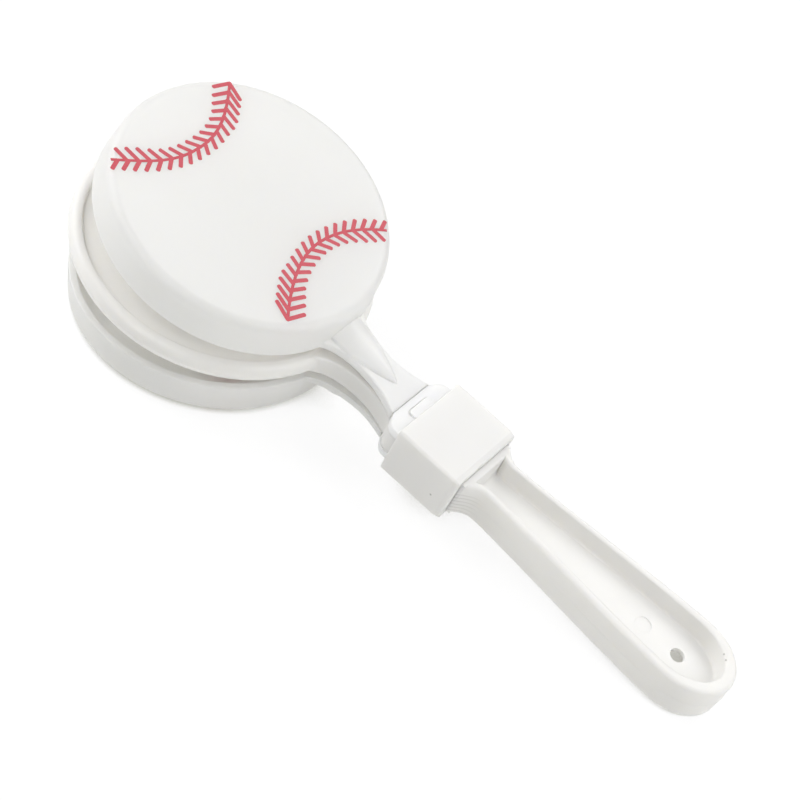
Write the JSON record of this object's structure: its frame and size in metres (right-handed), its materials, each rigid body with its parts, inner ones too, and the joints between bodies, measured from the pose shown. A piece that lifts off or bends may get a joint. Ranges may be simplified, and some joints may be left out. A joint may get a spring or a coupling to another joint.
{
  "type": "hand clapper",
  "caption": "Plastic hand clapper: round centre paddle between hinged dish-shaped clappers printed with baseball stitching, rectangular collar and recessed handle with a hanging hole.",
  "frame": {"origin": "centre of the bounding box with the clappers standing as pictured, 0.6 mm behind the hinge line", "axes": "+X along the handle to its round end, +Y across the handle, +Z out of the upper clapper's printed face"},
  "size_m": [0.2026, 0.0788, 0.049],
  "materials": {
    "white_frame": "injection-moulded polypropylene, satin",
    "white_clapper": "injection-moulded polypropylene, semi-gloss",
    "red_print": "pad-printed ink"
  },
  "bodies": {
    "frame": {"handle": "white_frame", "collar_sleeve": "white_frame", "centre_paddle": "white_frame", "upper_hinge_tab": "white_clapper", "lower_hinge_tab": "white_clapper"},
    "upper": {"upper_clapper": "white_clapper"},
    "lower": {"lower_clapper": "white_clapper"}
  },
  "joints": [
    {"name": "upper_film_hinge", "type": "hinge", "parent": "frame", "child": "upper", "pos_m": [-0.0006, 0, 0.00411], "axis": [0, 1, 0], "range_deg": [-7.45, 12.6], "stiffness_Nm_per_rad": 1.5},
    {"name": "lower_film_hinge", "type": "hinge", "parent": "frame", "child": "lower", "pos_m": [-0.0006, 0, -0.00579], "axis": [0, -1, 0], "range_deg": [-6.41, 13.6], "stiffness_Nm_per_rad": 1.5}
  ]
}
